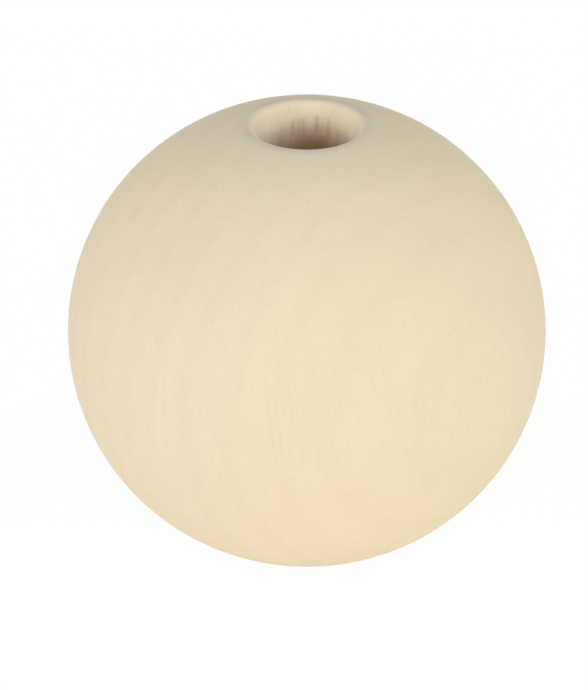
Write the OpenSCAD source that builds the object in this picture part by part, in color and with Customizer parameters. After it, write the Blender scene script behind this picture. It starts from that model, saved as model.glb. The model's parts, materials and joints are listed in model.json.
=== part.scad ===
// Turned wooden ball bead, bored through from end to end.
// One piece of pale close-grained wood, left raw. The origin is the centre of the ball,
// the bore runs along Z, and the bead stands on the rounded rim of either mouth.

/* [Ball] */
// Diameter across the equator, in millimetres
ball_d = 20; // [12:0.5:60]
// Distance from the bore axis to the centre of the turned arc; it leaves the bead a little shorter than wide
arc_offset = 0.2; // [0:0.05:0.4]

/* [Bore] */
// Diameter of the hole for the cord
bore_d = 4; // [2:0.1:6]
// Width of the flare round each mouth of the hole, seen along the bore
flare_w = 0.4; // [0.3:0.05:0.7]
// Radius of the arc by which each mouth opens out from the bore wall
flare_r = 1.7; // [0.8:0.1:3]
// Radius that the sanding leaves on the rim, where the flare meets the ball
rim_r = 0.4; // [0.1:0.05:0.4]

/* [Resolution] */
// Segments round the ball
facets = 180; // [48:12:240]

/* [Hidden] */

$fn = facets;
bore_r = bore_d / 2;
arc_r = ball_d / 2 - arc_offset;
ball_c = [arc_offset, 0];

// The sharp corner where the flare would cut the turned arc, before the rim is rounded
corner_x = bore_r + flare_w;
corner_z = sqrt(pow(arc_r, 2) - pow(corner_x - arc_offset, 2));
// Height at which the bore wall ends and the flare begins
wall_z = corner_z - sqrt(pow(flare_r, 2) - pow(flare_r - flare_w, 2));
flare_c = [bore_r + flare_r, wall_z];

// The rim's circle touches the flare and the turned arc from inside, so its centre is where
// a circle rim_r smaller than each of them crosses the other.
gap = flare_c - ball_c;
gap_l = norm(gap);
to_ball = arc_r - rim_r;
to_flare = flare_r - rim_r;
along = (pow(to_ball, 2) - pow(to_flare, 2) + pow(gap_l, 2)) / (2 * gap_l);
aside = sqrt(pow(to_ball, 2) - pow(along, 2));
rim_c = ball_c + (along * gap + aside * [-gap[1], gap[0]]) / gap_l;

// The flare is cut this much proud and the rim twice as much, so that their circles cross
// the lines that they join instead of just touching them.
proud = 0.001;
// A length that reaches past the whole bead
reach = ball_d;

// A point far out from the rim's centre, straight away from another centre
function out_from(c) = rim_c + reach * (rim_c - c) / norm(rim_c - c);

// Half section of the ball: the turned arc, cut off at the bore wall
module turned_arc() {
    intersection() {
        translate(ball_c) circle(r = arc_r);
        translate([bore_r, -reach]) square([reach, 2 * reach]);
    }
}

// What the flare takes off at the upper mouth: the corner between the wall and the flare's circle
module flare() {
    difference() {
        translate([bore_r - proud, wall_z]) square([flare_r, reach]);
        translate(flare_c) circle(r = flare_r + proud);
    }
}

// What the sanding takes off at the upper rim: the corner outside the rim's circle
module rim_corner() {
    difference() {
        polygon([rim_c, out_from(ball_c), out_from(flare_c)]);
        translate(rim_c) circle(r = rim_r + 2 * proud);
    }
}

// What is taken off at one end of the half section
module mouth() {
    flare();
    rim_corner();
}

// The whole bead is one solid of revolution.
module bead() {
    color("wheat")
        rotate_extrude()
            difference() {
                turned_arc();
                mouth();
                mirror([0, 1]) mouth();
            }
}

bead();
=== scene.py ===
"""A turned wooden ball bead, bored through, standing on its end on a pale studio floor.

The bead is drawn as half a profile, mirrored and spun round its bore. Its mouths and bore
are then torn along the grain, as a drill leaves them, and it is finished as raw sanded wood.
"""

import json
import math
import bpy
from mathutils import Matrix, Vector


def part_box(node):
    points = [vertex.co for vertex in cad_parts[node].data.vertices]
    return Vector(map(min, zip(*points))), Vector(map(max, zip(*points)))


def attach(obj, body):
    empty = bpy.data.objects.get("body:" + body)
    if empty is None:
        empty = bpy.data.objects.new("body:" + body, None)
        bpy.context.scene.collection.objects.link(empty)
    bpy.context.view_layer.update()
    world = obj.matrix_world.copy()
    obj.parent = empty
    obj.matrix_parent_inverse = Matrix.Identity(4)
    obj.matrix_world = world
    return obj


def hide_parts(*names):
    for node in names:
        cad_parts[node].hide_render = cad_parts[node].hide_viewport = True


bl_info = {
    "name": "Turned Wooden Bead",
    "version": (1, 0, 0),
    "blender": (4, 5, 0),
    "location": "3D View > Sidebar > Bead",
    "description": "Turns a bored wooden ball bead on its packed frame and lights it on a plain floor",
    "category": "Add Mesh",
}

import bpy
from mathutils import Vector

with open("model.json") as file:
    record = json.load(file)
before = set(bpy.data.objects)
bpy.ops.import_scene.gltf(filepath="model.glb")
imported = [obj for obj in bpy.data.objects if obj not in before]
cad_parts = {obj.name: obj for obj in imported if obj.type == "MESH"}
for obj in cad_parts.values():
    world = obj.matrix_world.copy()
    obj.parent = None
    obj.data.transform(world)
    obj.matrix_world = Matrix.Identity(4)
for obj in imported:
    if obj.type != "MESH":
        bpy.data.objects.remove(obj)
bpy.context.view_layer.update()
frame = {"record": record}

MM = 0.001
CAD_LOW, CAD_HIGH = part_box("bead")
# Where the pith of the tree lay, seen from the bead, in millimetres
PITH = (-34, 30, 0)
BORE = next(mount for mount in frame["record"]["mounts"] if mount["name"] == "bore")["dims"]

# Where the drill tore the fibres of the upper mouth. Each row is one tear: degrees round the bore,
# clockwise from the back, half its width in degrees, and how far it reaches above the rubbed wall,
# in millimetres. A longer tear is a deeper one.
TEARS = (
    (-58, 8, 0.08), (-45, 7, 0.12), (-33, 8, 0.13), (-17, 6, 0.25), (-9, 5, 0.19), (-4, 5, 0.21),
    (12, 6, 0.28), (18, 5, 0.16), (26, 6, 0.23), (41, 7, 0.13), (55, 7, 0.13), (72, 5, 0.24),
    (88, 6, 0.2), (103, 5, 0.3), (121, 8, 0.24), (135, 5, 0.16), (152, 6, 0.28), (168, 5, 0.2),
    (183, 7, 0.24), (196, 5, 0.16), (214, 8, 0.28), (229, 5, 0.2), (245, 6, 0.24), (262, 7, 0.24),
    (279, 5, 0.2),
)
# The drill swung along this line, in degrees as above, so it wore the wall nearer the mouth at both
# of its ends. Square to the line, the drilled and the rubbed wall start this many millimetres lower:
# partly that wear, and partly painted light, which keeps the side walls of each mouth paler deeper in.
SWING_AND_LIGHT_LINE = 13
DRILLED_LOWER = 1.6
RUBBED_LOWER = 0.8

# Depths below the rim, in millimetres, over which each mark of wear, and the painted side light, sets
# in
# or fades out: there is none of it at the first depth, and all of it at the second. Apart from the
# painted side light's, they hold on the drill's line, and are greater elsewhere by as much as the
# rubbed wall starts lower. A tear sets in higher by its reach.
TEARS_FROM = (0.7, 1.0)
TEARS_GONE = (1.6, 1.1)
RUBBING_FROM = (0.8, 1.6)
SIDE_LIGHT_FROM = (0.2, 0.8)
# How far round from the drill's line, from 0 on it to 1 square to it, the side walls take their painted
# light and the rim's ring of grey and painted shade fades: neither at the first value, and wholly at
# the second
SIDE_LIGHT_ROUND = (0.35, 0.8)
RING_FADE_ROUND = (0.6, 1.0)
# A tear's depth for each millimetre of its reach, and the depth of the rubbing, as shares of the
# depth that the user gives
TEAR_SHARE = 2.5
RUBBING_SHARE = 0.6

# The drill marks the wall and its flare as far out as this from the bore wall, and not the rim
MARKED_OUT = 0.3 * MM
# The sanding waves fade in over this much of the ball, round each mouth, and are this wide
WAVES_FADE = 1.2 * MM
WAVE_W = 2.5 * MM

# Steps along the upper half of the profile, finest where the fibres tear, and round the ball
DEEP_WALL_STEPS = 14
MOUTH_WALL_STEPS = 34
FLARE_STEPS = 20
RIM_STEPS = 6
BALL_STEPS = 62
TURN_STEPS = 360

# The lamps: name, azimuth and elevation in degrees, width and height in metres, and radiance.
# Azimuth 0 is in front, and 90 to the right.
LAMPS = (
    ("front", 0, 20, 0.5, 0.2, 3.0),
    ("left", -57, 12, 0.4, 0.26, 2.25),
    ("right", 57, 12, 0.4, 0.26, 2.2),
    ("side_left", -90, 36, 0.3, 0.55, 0.95),
    ("side_right", 90, 36, 0.3, 0.55, 1.1),
    ("above", 0, 80, 0.5, 0.4, 0.4),
)
LAMP_DISTANCE = 0.6
# The floor's width in metres, the glow of its paper, and the strength of the air's soft fill
FLOOR_W = 2.0
PAPER_GLOW = 0.23
AIR_FILL = 0.33
# The colour of both, as an sRGB hex value
WHITE = "FFFFFF"
# The camera's shift, across and up, as shares of the view's height: the bead stands a little right of
# the middle and above it
SHIFT = (-0.0186, -0.0211)


# ---------------------------------------------------------------- what a user would change


class BeadSizes(bpy.types.PropertyGroup):
    """Sizes of the bead. Those that the frame gives are read from it."""

    ball_d: bpy.props.FloatProperty(
        name="Ball diameter",
        description="Diameter across the equator",
        default=2 * CAD_HIGH.x,
        unit="LENGTH",
    )
    bore_d: bpy.props.FloatProperty(
        name="Bore diameter",
        description="Diameter of the hole for the cord",
        default=2 * BORE["r_mm"] * MM,
        unit="LENGTH",
    )
    bore_length: bpy.props.FloatProperty(
        name="Bore length",
        description="Length of the straight wall of the bore, between the two flares",
        default=BORE["length_mm"] * MM,
        unit="LENGTH",
    )
    arc_offset: bpy.props.FloatProperty(
        name="Arc offset",
        description="Distance from the bore axis to the centre of the turned arc",
        default=0.2 * MM,
        unit="LENGTH",
    )
    flare_r: bpy.props.FloatProperty(
        name="Flare radius",
        description="Radius of the arc that opens each mouth out from the bore wall",
        default=1.7 * MM,
        unit="LENGTH",
    )
    rim_r: bpy.props.FloatProperty(
        name="Rim radius",
        description="Radius that the sanding leaves where a flare meets the ball",
        default=0.4 * MM,
        unit="LENGTH",
    )


class BeadWear(bpy.types.PropertyGroup):
    """How far the drill and the sanding mark the wood."""

    tear_depth: bpy.props.FloatProperty(
        name="Tear depth",
        description="Depth of the fibres torn out of the bore wall near its mouths",
        default=0.1 * MM,
        unit="LENGTH",
    )
    tear_w: bpy.props.FloatProperty(
        name="Tear width",
        description="Width of one torn bundle of fibres",
        default=0.35 * MM,
        unit="LENGTH",
    )
    tear_reach: bpy.props.FloatProperty(
        name="Tear reach",
        description="Length of bore below each flare that is modelled finely enough to show tears",
        default=2.4 * MM,
        unit="LENGTH",
    )
    wave_depth: bpy.props.FloatProperty(
        name="Sanding wave",
        description="Depth of the faint unevenness that hand sanding leaves on the ball",
        default=0.012 * MM,
        unit="LENGTH",
    )


class BeadColours(bpy.types.PropertyGroup):
    """Colours of the wood, as sRGB hex values. Those of the rim ring and the bore wall are partly
    painted light and shade.
    """

    pale: bpy.props.StringProperty(
        name="Pale wood",
        description="Wood between the growth lines",
        default="F0E0C6",
    )
    outer: bpy.props.StringProperty(
        name="Outer wood",
        description="Yellower wood on the side that lay nearer the bark",
        default="EFDFBA",
    )
    growth: bpy.props.StringProperty(
        name="Growth line",
        description="The denser wood at the end of a year's ring",
        default="E8D4B0",
    )
    fibre: bpy.props.StringProperty(
        name="Fibre",
        description="Darker streaks along the grain",
        default="E0CCA9",
    )
    fleck: bpy.props.StringProperty(
        name="Fleck",
        description="Pores and ray flecks, as short thin dashes",
        default="C9A97F",
    )
    end: bpy.props.StringProperty(
        name="End grain",
        description="Cut ends of the fibres, greyer round each mouth",
        default="E1D6C0",
    )
    # Partly painted shade: besides the grey of hands and cords, the ring paints the shade where the rim
    # turns away from the lamps, strongest at the back and front of each mouth
    handled_and_shade: bpy.props.StringProperty(
        name="Handled rim",
        description="The rim of each mouth, greyed by hands and cords",
        default="C3BCB1",
    )
    flare: bpy.props.StringProperty(
        name="Flare",
        description="Freshly cut wood round each mouth",
        default="F4E7C8",
    )
    # Painted light: paler side walls in each mouth, where the lamps leave them darker
    painted_side_light: bpy.props.StringProperty(
        name="Spared wall",
        description="Bore wall that the drill rubbed least, palest of all",
        default="FCF1DC",
    )
    # Partly painted shade: greyer wall just inside the flare, where the bore starts to lie in shade
    rubbed: bpy.props.StringProperty(
        name="Rubbed wall",
        description="Bore wall just inside the flare",
        default="EAD6CC",
    )
    # Partly painted shade: browned by the drill, and darker deeper in the bore, where shade falls
    drilled_and_shade: bpy.props.StringProperty(
        name="Drilled wall",
        description="Bore wall further in, browned by the drill",
        default="B99571",
    )
    # Partly painted shade: darker at the bottom of each tear, where the groove lies in shade
    torn: bpy.props.StringProperty(
        name="Torn fibre",
        description="Bottom of a tear in the bore wall",
        default="B9998A",
    )


class StudioSet(bpy.types.PropertyGroup):
    """The floor, lamps and camera."""

    view_elevation: bpy.props.FloatProperty(
        name="Camera elevation",
        description="Angle of the camera above the horizon",
        default=math.radians(26),
        subtype="ANGLE",
    )
    view_distance: bpy.props.FloatProperty(
        name="Camera distance",
        description="Distance from the centre of the bead to the camera",
        default=0.4,
        unit="LENGTH",
    )
    view_height: bpy.props.FloatProperty(
        name="View height",
        description="Height of what the camera sees at the bead",
        default=28.88 * MM,
        unit="LENGTH",
    )
    paper: bpy.props.StringProperty(
        name="Paper",
        description="Colour of the floor's paper where the lamps light it, as an sRGB hex value",
        default="EDEDED",
    )
    level: bpy.props.FloatProperty(
        name="Light level",
        description="Multiplies every lamp; 1 renders a colour about as it is written",
        default=1.0,
        subtype="FACTOR",
    )


# ---------------------------------------------------------------- small helpers


def hex_colour(code):
    """A linear RGBA colour from an sRGB hex value such as EEDDBA."""
    parts = [int(code[i:i + 2], 16) / 255 for i in (0, 2, 4)]
    linear = [c / 12.92 if c <= 0.04045 else ((c + 0.055) / 1.055) ** 2.4 for c in parts]
    return (*linear, 1.0)


def add(tree, kind, inputs=None, **settings):
    """Adds one node. settings are its properties, and inputs are values or links by socket."""
    made = tree.nodes.new(kind)
    for name, value in settings.items():
        setattr(made, name, value)
    for socket, value in (inputs or {}).items():
        if isinstance(value, bpy.types.NodeSocket):
            tree.links.new(value, made.inputs[socket])
        else:
            made.inputs[socket].default_value = value
    return made


def smooth(low, high, value):
    """0 below low, 1 above high, and a smooth step between them."""
    t = min(max((value - low) / (high - low), 0.0), 1.0)
    return t * t * (3 - 2 * t)


def select_only(obj):
    """Makes obj the only selected object, and the active one."""
    bpy.ops.object.select_all(action="DESELECT")
    obj.select_set(True)
    bpy.context.view_layer.objects.active = obj


# ---------------------------------------------------------------- the bead


def rise(height, steps):
    """Carries the end of the profile straight up, one extrude at a time."""
    for _ in range(steps):
        bpy.ops.mesh.extrude_region_move(TRANSFORM_OT_translate={"value": (0, 0, height / steps)})


def arc(centre, angle, steps):
    """Carries the end of the profile round centre, (x, z), clockwise as seen from the front."""
    bpy.ops.mesh.spin(steps=steps, angle=angle, center=(centre.x, 0, centre.y), axis=(0, -1, 0))


def draw_profile(sizes, mouth_wall):
    """Draws the upper half of the bead's section, from halfway along the bore to the equator.

    mouth_wall is the length of bore below the flare that is drawn finely enough to show tears.
    """
    bore_r = sizes.bore_d / 2
    wall_z = sizes.bore_length / 2
    arc_r = sizes.ball_d / 2 - sizes.arc_offset

    # The flare is an arc that leaves the bore wall at wall_z. The rim's arc touches the flare
    # and the turned arc from inside, so its centre lies where two smaller arcs cross.
    ball = Vector((sizes.arc_offset, 0))
    flare = Vector((bore_r + sizes.flare_r, wall_z))
    apart = flare - ball
    to_ball = arc_r - sizes.rim_r
    to_flare = sizes.flare_r - sizes.rim_r
    along = (to_ball ** 2 - to_flare ** 2 + apart.length_squared) / (2 * apart.length)
    aside = math.sqrt(to_ball ** 2 - along ** 2)
    rim = ball + (along * apart + aside * Vector((-apart.y, apart.x))) / apart.length
    flare_angle = math.atan2(rim.y - flare.y, rim.x - flare.x)
    ball_angle = math.atan2(rim.y - ball.y, rim.x - ball.x)

    # The profile starts from one vertex, halfway along the bore wall.
    bpy.ops.object.select_all(action="DESELECT")
    bpy.ops.mesh.primitive_plane_add(size=MM, enter_editmode=True, location=(0, 0, 0))
    bead = bpy.context.object
    bead.name = bead.data.name = "turned_bead"
    bpy.ops.mesh.merge(type="CENTER")
    bpy.ops.transform.translate(value=(bore_r, 0, 0))
    rise(wall_z - mouth_wall, DEEP_WALL_STEPS)
    rise(mouth_wall, MOUTH_WALL_STEPS)
    arc(flare, math.pi - flare_angle, FLARE_STEPS)
    arc(rim, flare_angle - ball_angle, RIM_STEPS)
    arc(ball, ball_angle, BALL_STEPS)
    bpy.ops.object.mode_set(mode="OBJECT")
    return bead


def spin_profile(bead):
    """Mirrors the half profile and spins it round the bore, into one closed shape."""
    bpy.ops.object.modifier_add(type="MIRROR")
    mirror = bead.modifiers[-1]
    mirror.use_axis = (False, False, True)
    mirror.merge_threshold = MM / 1000
    bpy.ops.object.modifier_apply(modifier=mirror.name)

    bpy.ops.object.mode_set(mode="EDIT")
    bpy.ops.mesh.select_all(action="SELECT")
    bpy.ops.mesh.spin(
        steps=TURN_STEPS,
        angle=math.tau,
        use_auto_merge=True,
        center=(0, 0, 0),
        axis=(0, 0, 1),
    )
    bpy.ops.mesh.select_all(action="SELECT")
    bpy.ops.mesh.remove_doubles(threshold=MM / 1000)
    bpy.ops.mesh.normals_make_consistent(inside=False)
    bpy.ops.object.mode_set(mode="OBJECT")
    bpy.ops.object.shade_smooth()


def keep_weights(bead, name, weights):
    """Adds a vertex group that holds one weight for each vertex."""
    group = bead.vertex_groups.new(name=name)
    for index, weight in enumerate(weights):
        if weight > 0:
            group.add([index], weight, "REPLACE")


def keep_values(bead, name, values):
    """Adds an attribute that holds one number for each vertex, for the material to read."""
    bead.data.attributes.new(name, "FLOAT", "POINT").data.foreach_set("value", values)


def press_in(bead, group, depth, texture=None, grain=(MM, MM, MM)):
    """Sinks a group of the bead by up to depth, with a texture's pattern if one is given.

    grain is the size of one grain of that pattern along each axis.
    """
    bpy.ops.object.empty_add(location=(0, 0, 0))
    guide = bpy.context.object
    guide.scale = grain
    select_only(bead)
    bpy.ops.object.modifier_add(type="DISPLACE")
    relief = bead.modifiers[-1]
    relief.texture = texture
    relief.texture_coords = "OBJECT"
    relief.texture_coords_object = guide
    relief.vertex_group = group
    # A texture sinks the wood where it is dark. With none, the whole group sinks.
    relief.mid_level = 1.0 if texture else 0.0
    relief.strength = depth if texture else -depth
    bpy.ops.object.modifier_apply(modifier=relief.name)
    bpy.data.objects.remove(guide)
    if texture:
        bpy.data.textures.remove(texture)


def clouds(name, **settings):
    """A cloud texture for a relief."""
    texture = bpy.data.textures.new(name, "CLOUDS")
    texture.noise_scale = 1.0
    for key, value in settings.items():
        setattr(texture, key, value)
    return texture


def wear_and_paint_at(place, wall_r, rim_z):
    """How the drill wore one place, and where light and shade are painted there: its depth as the
    drilled and as the rubbed wall count it, how torn it is, how much painted light the side wall gets
    there, and how far the rim's ring of painted shade fades.

    The depths are in millimetres below the rim, less what those walls start lower by. The others run
    from 0 to 1. Outside wall_r the drill left no mark.
    """
    # The lower mouth is worn as the upper one is, turned half round.
    azimuth = math.degrees(math.atan2(place.x, place.y)) + (0 if place.z > 0 else 180)
    # 0 on the line that the drill swung along, and 1 square to it, where the walls are painted lighter
    aside = math.sin(math.radians(azimuth - SWING_AND_LIGHT_LINE)) ** 2
    ring_fade = smooth(*RING_FADE_ROUND, aside)
    if math.hypot(place.x, place.y) > wall_r:
        return 0.0, 0.0, 0.0, 0.0, ring_fade
    depth = (rim_z - abs(place.z)) / MM
    painted_side_light = smooth(*SIDE_LIGHT_ROUND, aside) * smooth(*SIDE_LIGHT_FROM, depth)
    rubbed = depth - RUBBED_LOWER * aside
    torn = 0.0
    for middle, half, reach in TEARS:
        near = smooth(half, 0, abs((azimuth - middle + 180) % 360 - 180))
        torn = max(torn, TEAR_SHARE * reach * near * smooth(*TEARS_FROM, rubbed + reach))
    return depth - DRILLED_LOWER * aside, rubbed, torn * smooth(*TEARS_GONE, rubbed), painted_side_light, ring_fade


def tear_fibres(bead, sizes, wear):
    """Tears the fibres of the bore wall below each mouth, and leaves the ball faintly uneven."""
    wall_r = sizes.bore_d / 2 + MARKED_OUT
    before = [vertex.co.copy() for vertex in bead.data.vertices]
    radii = [math.hypot(place.x, place.y) for place in before]
    worn = [wear_and_paint_at(place, wall_r, CAD_HIGH.z) for place in before]
    drilled_and_shade, rubbed, tears, painted_side_light, ring_fade = zip(*worn)

    keep_weights(bead, "tears", tears)
    rubbing = [RUBBING_SHARE * smooth(*RUBBING_FROM, depth) for depth in rubbed]
    keep_weights(bead, "rubbing", rubbing)
    keep_weights(bead, "sanding", [smooth(wall_r, wall_r + WAVES_FADE, radius) for radius in radii])
    press_in(bead, "tears", wear.tear_depth)
    bundles = clouds("torn_bundles", noise_type="HARD_NOISE", noise_depth=1, contrast=1.6)
    # A bundle of fibres is 14 times as long as it is wide.
    bundle = (wear.tear_w, wear.tear_w, 14 * wear.tear_w)
    press_in(bead, "rubbing", wear.tear_depth, bundles, bundle)
    waves = clouds("sanding_waves", noise_depth=1)
    press_in(bead, "sanding", wear.wave_depth, waves, (WAVE_W, WAVE_W, WAVE_W))

    # The patterns may lift a fibre, but none stands proud of the wall that the drill left.
    for vertex, place, radius in zip(bead.data.vertices, before, radii):
        if math.hypot(vertex.co.x, vertex.co.y) < radius < wall_r:
            vertex.co = place

    moved = [(vertex.co - place).length for vertex, place in zip(bead.data.vertices, before)]
    # How deep each place was torn: it also sets the painted shade at the bottom of each tear
    torn = [way / wear.tear_depth if radius < wall_r else 0.0 for way, radius in zip(moved, radii)]
    keep_values(bead, "drilled_and_shade", drilled_and_shade)
    keep_values(bead, "rubbed", rubbed)
    keep_values(bead, "torn", torn)
    keep_values(bead, "painted_side_light", painted_side_light)
    keep_values(bead, "ring_fade", ring_fade)
    bead.vertex_groups.clear()


def raw_wood(colours, bore_r):
    """Raw maple-like wood, turned and sanded: pale, matt and close-grained, with faint growth lines.

    Diffuse-porous wood has no coarse pores, so what the eye gets is a soft even cream with slightly
    darker fibres along the bore, and a bore wall that the drill rubbed brown and tore near its mouths.
    The bore wall's and the rim ring's colours also paint shade, deeper in and at the back and front of
    each mouth, and paint light on the side walls of each mouth.
    bore_r is the bore's radius in millimetres.
    """
    material = bpy.data.materials.new("raw_sanded_wood")
    material.use_nodes = True
    tree = material.node_tree
    tree.nodes.clear()
    place = add(tree, "ShaderNodeTexCoord").outputs["Object"]
    # The place in millimetres, so that each scale below is one over a real size
    mm = add(tree, "ShaderNodeVectorMath", {0: place, "Scale": 1 / MM}, operation="SCALE").outputs[0]
    flat = add(tree, "ShaderNodeVectorMath", {0: mm, 1: (1, 1, 0)}, operation="MULTIPLY").outputs[0]

    # Patterns of noise: the size of one grain in millimetres across the fibres and along them, and how
    # many rounds of finer detail it has
    grains = {
        "wander": (5.0, 16.0, 2.0),  # how the growth lines stray
        "clouds": (3.0, 4.5, 2.0),  # cloudy colour, as in any raw wood
        "mottle": (0.6, 0.8, 2.0),
        "broad": (0.5, 9.0, 2.0),
        "bundles": (0.13, 3.2, 2.0),  # fibres are 0.02 mm wide, so bundles of them are as fine as shows
        "dashes": (0.075, 0.8, 0.0),  # pores and ray flecks, far apart
        "tooth": (0.06, 0.1, 3.0),  # what fine sanding grit leaves, about as wide as its grains
        "sheen": (0.4, 1.2, 2.0),  # where the sanding closed the surface more, or less
    }
    noise = {}
    for name, (width, length, detail) in grains.items():
        per_mm = (1 / width, 1 / width, 1 / length)
        sized = add(tree, "ShaderNodeVectorMath", {0: mm, 1: per_mm}, operation="MULTIPLY")
        made = add(
            tree, "ShaderNodeTexNoise", {"Vector": sized.outputs[0], "Scale": 1.0, "Detail": detail}
        )
        noise[name] = made.outputs["Fac"]

    # Years of growth: arcs round the pith, each year_w wide, that stray by up to stray, in millimetres.
    # The latest wood of a year is its dark line.
    year_w = 1.6
    stray = 1.1
    from_pith = add(tree, "ShaderNodeVectorMath", {0: flat, 1: PITH}, operation="SUBTRACT")
    length = add(tree, "ShaderNodeVectorMath", {0: from_pith.outputs[0]}, operation="LENGTH")
    age = length.outputs["Value"]
    strayed = add(
        tree, "ShaderNodeMath", {0: noise["wander"], 1: stray, 2: age}, operation="MULTIPLY_ADD"
    )
    late = add(tree, "ShaderNodeMath", {0: strayed.outputs[0], 1: year_w / 2}, operation="PINGPONG")

    # Distance from the bore's axis, and from the middle of the rim, where hands and cords grey it and a
    # ring of painted shade lies
    rim_middle = bore_r + 0.63
    out = add(tree, "ShaderNodeVectorMath", {0: flat}, operation="LENGTH").outputs["Value"]
    from_rim = add(tree, "ShaderNodeMath", {0: out, 1: rim_middle}, operation="SUBTRACT")
    off_rim = add(tree, "ShaderNodeMath", {0: from_rim.outputs[0]}, operation="ABSOLUTE")
    # What the drill left at each place, and the painted light and shade there
    worn = {
        name: add(tree, "ShaderNodeAttribute", attribute_name=name).outputs["Fac"]
        for name in ("painted_side_light", "rubbed", "torn", "drilled_and_shade", "ring_fade")
    }
    # Square to the drill's line the ring of grey and painted shade is narrower and fainter, as if every
    # place there lay this many millimetres further from its middle, so its painted shade is strongest
    # at the back and front of each mouth.
    fade_aside_mm = 0.2
    greyed = add(
        tree,
        "ShaderNodeMath",
        {0: worn["ring_fade"], 1: fade_aside_mm, 2: off_rim.outputs[0]},
        operation="MULTIPLY_ADD",
    )

    # Each layer's colour is laid over those before it, by a share that runs smoothly from one
    # value of its pattern to another. Depths and distances are in millimetres.
    wood = hex_colour(colours.pale)
    for pattern, low, high, share_low, share_high, colour in (
        (age, 36, 54, 0, 1, colours.outer),
        (out, bore_r + 1.3, bore_r + 4.5, 0.5, 0, colours.end),
        (out, bore_r + 0.6, bore_r + 1.3, 1, 0, colours.end),
        # The rim ring: grey of hands and cords, and painted shade
        (greyed.outputs[0], 0.02, 0.27, 0.42, 0, colours.handled_and_shade),
        (out, bore_r + 0.25, bore_r + 0.52, 1, 0, colours.flare),
        # Painted light on the side walls, then the bore wall greying, tearing and browning deeper in:
        # each of these three is partly painted shade
        (worn["painted_side_light"], 0, 1, 0, 1, colours.painted_side_light),
        (worn["rubbed"], 0.6, 1.4, 0, 1, colours.rubbed),
        (worn["torn"], 0.15, 0.9, 0, 0.45, colours.torn),
        (worn["drilled_and_shade"], 0.95, 1.85, 0, 1, colours.drilled_and_shade),
        (late.outputs[0], 0.3, 0.78, 0, 0.2, colours.growth),
        (noise["clouds"], 0.3, 0.7, 0, 0.15, colours.growth),
        (noise["mottle"], 0.3, 0.7, 0, 0.1, colours.growth),
        (noise["bundles"], 0.42, 0.72, 0, 0.14, colours.fibre),
        (noise["broad"], 0.35, 0.7, 0, 0.08, colours.fibre),
        (noise["dashes"], 0.7, 0.8, 0, 0.12, colours.fleck),
    ):
        share = add(
            tree,
            "ShaderNodeMapRange",
            {0: pattern, 1: low, 2: high, 3: share_low, 4: share_high},
            interpolation_type="SMOOTHSTEP",
        )
        laid = add(
            tree,
            "ShaderNodeMix",
            {0: share.outputs[0], 6: wood, 7: hex_colour(colour)},
            data_type="RGBA",
        )
        wood = laid.outputs[2]

    # Relief: bundles of fibres stand a few microns proud, three times as far as the finer tooth that
    # the sanding grit leaves.
    relief = add(
        tree,
        "ShaderNodeMath",
        {0: noise["bundles"], 1: 3.0, 2: noise["tooth"]},
        operation="MULTIPLY_ADD",
    )
    bump = add(
        tree, "ShaderNodeBump", {"Strength": 0.35, "Distance": 0.003 * MM, "Height": relief.outputs[0]}
    )
    matt = add(tree, "ShaderNodeMapRange", {0: noise["sheen"], 1: 0.3, 2: 0.7, 3: 0.62, 4: 0.72})
    shader = add(
        tree,
        "ShaderNodeBsdfPrincipled",
        {"Base Color": wood, "Roughness": matt.outputs[0], "IOR": 1.46, "Normal": bump.outputs[0]},
    )
    add(tree, "ShaderNodeOutputMaterial", {"Surface": shader.outputs[0]})
    return material


class BEAD_OT_turn(bpy.types.Operator):
    """Turn the bead, tear the fibres at its mouths and give it its raw sanded wood"""

    bl_idname = "bead.turn"
    bl_label = "Turn the Bead"

    def execute(self, context):
        scene = context.scene
        bead = draw_profile(scene.bead_sizes, scene.bead_wear.tear_reach)
        spin_profile(bead)
        tear_fibres(bead, scene.bead_sizes, scene.bead_wear)
        wood = raw_wood(scene.bead_colours, scene.bead_sizes.bore_d / 2 / MM)
        bead.data.materials.append(wood)
        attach(bead, "root")
        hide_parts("bead")
        return {"FINISHED"}


# ---------------------------------------------------------------- the stage


def white_seen(tree, lit, share, white=1.0):
    """Mixes a white glow over lit by share, only where the camera or a gloss or glass ray looks."""
    path = add(tree, "ShaderNodeLightPath")
    seen = add(
        tree,
        "ShaderNodeMath",
        {0: path.outputs["Is Camera Ray"], 1: path.outputs["Is Glossy Ray"]},
        operation="MAXIMUM",
    )
    seen = add(
        tree,
        "ShaderNodeMath",
        {0: seen.outputs[0], 1: path.outputs["Is Transmission Ray"]},
        operation="MAXIMUM",
    )
    mix = add(tree, "ShaderNodeMath", {0: seen.outputs[0], 1: share}, operation="MULTIPLY")
    glow = add(tree, "ShaderNodeEmission", {"Color": hex_colour(WHITE), "Strength": white})
    return add(tree, "ShaderNodeMixShader", {0: mix.outputs[0], 1: lit, 2: glow.outputs[0]})


def facing(azimuth, elevation, distance):
    """The place and turn of a lamp or camera that faces the bead, from two angles in radians."""
    flat = math.cos(elevation)
    out = Vector((math.sin(azimuth) * flat, -math.cos(azimuth) * flat, math.sin(elevation)))
    return {"location": out * distance, "rotation": out.to_track_quat("Z", "Y").to_euler()}


def lamp(name, azimuth, elevation, width, height, radiance):
    """A soft rectangular lamp that faces the bead."""
    place = facing(math.radians(azimuth), math.radians(elevation), LAMP_DISTANCE)
    bpy.ops.object.light_add(type="AREA", **place)
    made = bpy.context.object
    made.name = made.data.name = name
    made.data.shape = "RECTANGLE"
    made.data.size = width
    made.data.size_y = height
    made.data.energy = radiance * math.pi * width * height
    made.visible_camera = False


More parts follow.
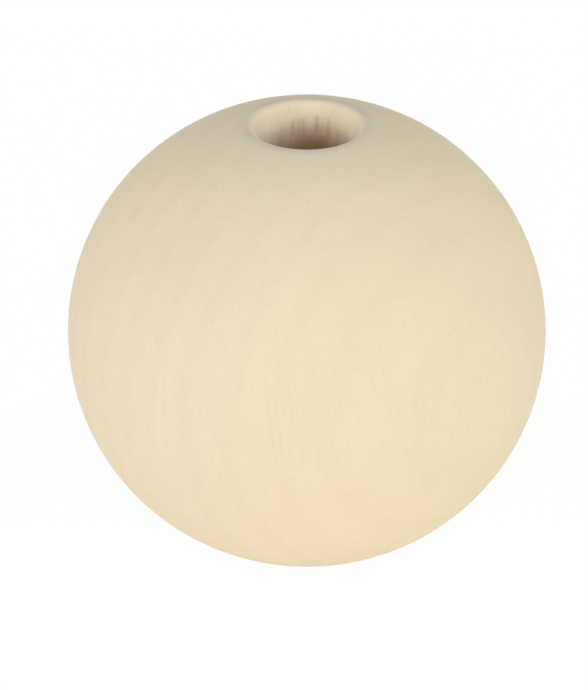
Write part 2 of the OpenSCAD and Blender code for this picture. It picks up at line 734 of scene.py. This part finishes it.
def white_paper(colour):
    """Smooth uncoated white paper: matt, so it shows no gloss, only the bead's faint shadow.

    It glows a little, as on a light table, which lifts the shade under the bead.
    """
    material = bpy.data.materials.new("white_paper")
    material.use_nodes = True
    tree = material.node_tree
    tree.nodes.clear()
    matt = add(tree, "ShaderNodeBsdfDiffuse", {"Color": hex_colour(colour)})
    glow = add(tree, "ShaderNodeEmission", {"Color": hex_colour(WHITE), "Strength": PAPER_GLOW})
    lit = add(tree, "ShaderNodeAddShader", {0: matt.outputs[0], 1: glow.outputs[0]})
    # The lit share is a little under white, so the glow is a little over it: open floor is white.
    top = white_seen(tree, lit.outputs[0], share=0.85, white=1.04)
    add(tree, "ShaderNodeOutputMaterial", {"Surface": top.outputs[0]})
    return material


def studio_air():
    """White air round the stage, with a soft even fill light."""
    world = bpy.data.worlds.new("studio_air")
    world.use_nodes = True
    tree = world.node_tree
    tree.nodes.clear()
    fill = add(tree, "ShaderNodeBackground", {"Color": hex_colour(WHITE), "Strength": AIR_FILL})
    air = white_seen(tree, fill.outputs[0], share=1.0)
    add(tree, "ShaderNodeOutputWorld", {"Surface": air.outputs[0]})
    return world


class BEAD_OT_stage(bpy.types.Operator):
    """Lay the floor, hang the lamps and place the camera"""

    bl_idname = "bead.stage"
    bl_label = "Set the Stage"

    def execute(self, context):
        scene = context.scene
        studio = scene.bead_studio

        bpy.ops.object.select_all(action="DESELECT")
        bpy.ops.mesh.primitive_plane_add(size=FLOOR_W, location=(0, 0, CAD_LOW.z))
        floor = context.object
        floor.name = floor.data.name = "floor"
        floor.data.materials.append(white_paper(studio.paper))

        for *where, radiance in LAMPS:
            lamp(*where, radiance * studio.level)
        scene.world = studio_air()

        bpy.ops.object.camera_add(**facing(0, studio.view_elevation, studio.view_distance))
        camera = context.object
        camera.name = "camera"
        camera.data.lens = camera.data.sensor_width * studio.view_distance / studio.view_height
        camera.data.shift_x, camera.data.shift_y = SHIFT
        scene.camera = camera
        scene.view_settings.view_transform = "Standard"
        return {"FINISHED"}


class BEAD_PT_panel(bpy.types.Panel):
    """Lists the bead's sizes, wear and colours, its studio, and the steps that make them"""

    bl_idname = "BEAD_PT_panel"
    bl_label = "Turned Bead"
    bl_space_type = "VIEW_3D"
    bl_region_type = "UI"
    bl_category = "Bead"

    def draw(self, context):
        scene = context.scene
        for group in (scene.bead_sizes, scene.bead_wear, scene.bead_colours, scene.bead_studio):
            box = self.layout.box()
            for name in group.bl_rna.properties.keys():
                if name not in ("rna_type", "name"):
                    box.prop(group, name)
        for step in STEPS:
            self.layout.operator(step.bl_idname)


STEPS = (BEAD_OT_turn, BEAD_OT_stage)
GROUPS = {
    "bead_sizes": BeadSizes,
    "bead_wear": BeadWear,
    "bead_colours": BeadColours,
    "bead_studio": StudioSet,
}


def register():
    """Adds the classes to Blender, and their settings to the scene."""
    for cls in (*GROUPS.values(), *STEPS, BEAD_PT_panel):
        bpy.utils.register_class(cls)
    for name, cls in GROUPS.items():
        setattr(bpy.types.Scene, name, bpy.props.PointerProperty(type=cls))


def unregister():
    """Takes away what register() added."""
    for name in GROUPS:
        delattr(bpy.types.Scene, name)
    for cls in (BEAD_PT_panel, *reversed(STEPS), *reversed(GROUPS.values())):
        bpy.utils.unregister_class(cls)


def main():
    """Registers the add-on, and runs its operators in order."""
    register()
    bpy.ops.bead.turn()
    bpy.ops.bead.stage()


if __name__ == "__main__":
    main()
